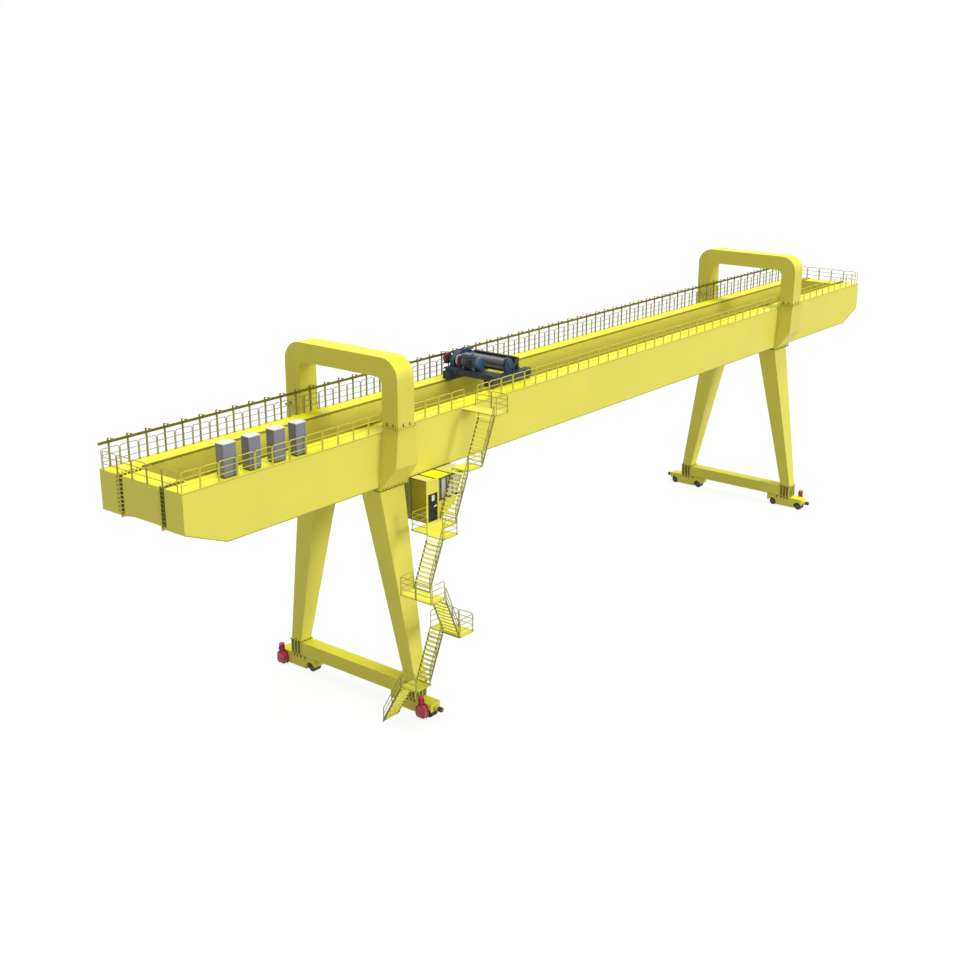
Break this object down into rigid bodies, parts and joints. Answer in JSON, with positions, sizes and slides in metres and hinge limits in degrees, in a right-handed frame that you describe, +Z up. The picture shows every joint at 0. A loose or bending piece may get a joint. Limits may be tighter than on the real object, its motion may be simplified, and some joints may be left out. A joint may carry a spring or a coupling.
{
  "type": "1:2 scale model gantry crane",
  "caption": "Double-girder gantry crane at half size: rounded portals over tapering legs on wheeled sills, trolley with hoist drum, stairs and cab.",
  "frame": {"origin": "mid-span, under the middle of the whole plan, on the plane the travel wheels stand on; the stairs reach out further than the buffers, so the girders' middle plane is at y = +0.3285 m", "axes": "+X along the girders away from the stairs and cab, +Y towards the cable-track side, +Z up"},
  "size_m": [38.15, 7.407, 10.4495],
  "materials": {
    "yellow_paint": "gloss",
    "olive_paint": "satin",
    "grey_paint": "satin",
    "trolley_paint": "satin",
    "blue_paint": "satin",
    "maroon_paint": "satin",
    "crimson_paint": "satin",
    "dark_paint": "satin",
    "window_glass": "gloss",
    "dark_door": "gloss",
    "wheel_steel": "satin",
    "drum_steel": "satin",
    "buffer_rubber": "matte"
  },
  "bodies": {
    "crane": {"front_girder": "yellow_paint", "rear_girder": "yellow_paint", "left_end_tie": "yellow_paint", "left_arch": "yellow_paint", "left_sill_beam": "yellow_paint", "left_front_leg": "yellow_paint", "left_front_bogie": "yellow_paint", "left_rear_leg": "yellow_paint", "left_rear_bogie": "yellow_paint", "right_end_tie": "yellow_paint", "right_arch": "yellow_paint", "right_sill_beam": "yellow_paint", "right_front_leg": "yellow_paint", "right_front_bogie": "yellow_paint", "right_rear_leg": "yellow_paint", "right_rear_bogie": "yellow_paint", "arch_brackets": "yellow_paint", "bogie_buffers": "buffer_rubber", "travel_drives": "crimson_paint", "trolley_rails": "yellow_paint", "front_handrail": "yellow_paint", "rear_handrail": "yellow_paint", "end_handrails": "yellow_paint", "cable_track": "olive_paint", "electrical_cabinets": "grey_paint", "cab_housing": "yellow_paint", "cab_windows": "window_glass", "stair_stringers": "yellow_paint", "stair_treads": "yellow_paint", "stair_landings": "yellow_paint", "landing_handrails": "yellow_paint"},
    "trolley": {"trolley_frame": "trolley_paint", "drum_support": "blue_paint", "drum_guard": "dark_paint", "hoist_gearbox": "blue_paint", "hoist_motor": "blue_paint", "hoist_brakes": "maroon_paint"},
    "hoist_drum": {"hoist_drum": "drum_steel"},
    "cab_door": {"cab_door": "dark_door"},
    "left_front_inner_wheel": {"left_front_inner_wheel": "wheel_steel"},
    "left_front_outer_wheel": {"left_front_outer_wheel": "wheel_steel"},
    "left_rear_inner_wheel": {"left_rear_inner_wheel": "wheel_steel"},
    "left_rear_outer_wheel": {"left_rear_outer_wheel": "wheel_steel"},
    "right_front_inner_wheel": {"right_front_inner_wheel": "wheel_steel"},
    "right_front_outer_wheel": {"right_front_outer_wheel": "wheel_steel"},
    "right_rear_inner_wheel": {"right_rear_inner_wheel": "wheel_steel"},
    "right_rear_outer_wheel": {"right_rear_outer_wheel": "wheel_steel"},
    "trolley_left_front_wheel": {"trolley_left_front_wheel": "wheel_steel"},
    "trolley_left_rear_wheel": {"trolley_left_rear_wheel": "wheel_steel"},
    "trolley_right_front_wheel": {"trolley_right_front_wheel": "wheel_steel"},
    "trolley_right_rear_wheel": {"trolley_right_rear_wheel": "wheel_steel"}
  },
  "joints": [
    {"name": "trolley_travel", "type": "slide", "parent": "crane", "child": "trolley", "axis": [1, 0, 0], "range_m": [-11.7, 22.6]},
    {"name": "drum_spin", "type": "hinge", "parent": "trolley", "child": "hoist_drum", "pos_m": [-5.328, 0.3285, 8.931], "axis": [0, 1, 0], "continuous": true},
    {"name": "cab_door_hinge", "type": "hinge", "parent": "crane", "child": "cab_door", "pos_m": [-10.928, -1.9115, 6], "axis": [0, 0, 1], "range_deg": [-90, 0]},
    {"name": "left_front_inner_wheel_spin", "type": "hinge", "parent": "crane", "child": "left_front_inner_wheel", "pos_m": [-11.75, -1.4875, 0.152], "axis": [1, 0, 0], "continuous": true},
    {"name": "left_front_outer_wheel_spin", "type": "hinge", "parent": "crane", "child": "left_front_outer_wheel", "pos_m": [-11.75, -2.6265, 0.152], "axis": [1, 0, 0], "continuous": true},
    {"name": "left_rear_inner_wheel_spin", "type": "hinge", "parent": "crane", "child": "left_rear_inner_wheel", "pos_m": [-11.75, 2.1445, 0.152], "axis": [1, 0, 0], "continuous": true},
    {"name": "left_rear_outer_wheel_spin", "type": "hinge", "parent": "crane", "child": "left_rear_outer_wheel", "pos_m": [-11.75, 3.2835, 0.152], "axis": [1, 0, 0], "continuous": true},
    {"name": "right_front_inner_wheel_spin", "type": "hinge", "parent": "crane", "child": "right_front_inner_wheel", "pos_m": [11.75, -1.4875, 0.152], "axis": [1, 0, 0], "continuous": true},
    {"name": "right_front_outer_wheel_spin", "type": "hinge", "parent": "crane", "child": "right_front_outer_wheel", "pos_m": [11.75, -2.6265, 0.152], "axis": [1, 0, 0], "continuous": true},
    {"name": "right_rear_inner_wheel_spin", "type": "hinge", "parent": "crane", "child": "right_rear_inner_wheel", "pos_m": [11.75, 2.1445, 0.152], "axis": [1, 0, 0], "continuous": true},
    {"name": "right_rear_outer_wheel_spin", "type": "hinge", "parent": "crane", "child": "right_rear_outer_wheel", "pos_m": [11.75, 3.2835, 0.152], "axis": [1, 0, 0], "continuous": true},
    {"name": "trolley_left_front_wheel_spin", "type": "hinge", "parent": "trolley", "child": "trolley_left_front_wheel", "pos_m": [-6.392, -0.5215, 8.523], "axis": [0, 1, 0], "continuous": true},
    {"name": "trolley_left_rear_wheel_spin", "type": "hinge", "parent": "trolley", "child": "trolley_left_rear_wheel", "pos_m": [-6.392, 1.1785, 8.523], "axis": [0, 1, 0], "continuous": true},
    {"name": "trolley_right_front_wheel_spin", "type": "hinge", "parent": "trolley", "child": "trolley_right_front_wheel", "pos_m": [-4.552, -0.5215, 8.523], "axis": [0, 1, 0], "continuous": true},
    {"name": "trolley_right_rear_wheel_spin", "type": "hinge", "parent": "trolley", "child": "trolley_right_rear_wheel", "pos_m": [-4.552, 1.1785, 8.523], "axis": [0, 1, 0], "continuous": true}
  ],
  "couplings": [
    {"joint": "trolley_left_front_wheel_spin", "follows": "trolley_travel", "rad_per_m": 10},
    {"joint": "trolley_left_rear_wheel_spin", "follows": "trolley_travel", "rad_per_m": 10},
    {"joint": "trolley_right_front_wheel_spin", "follows": "trolley_travel", "rad_per_m": 10},
    {"joint": "trolley_right_rear_wheel_spin", "follows": "trolley_travel", "rad_per_m": 10}
  ]
}
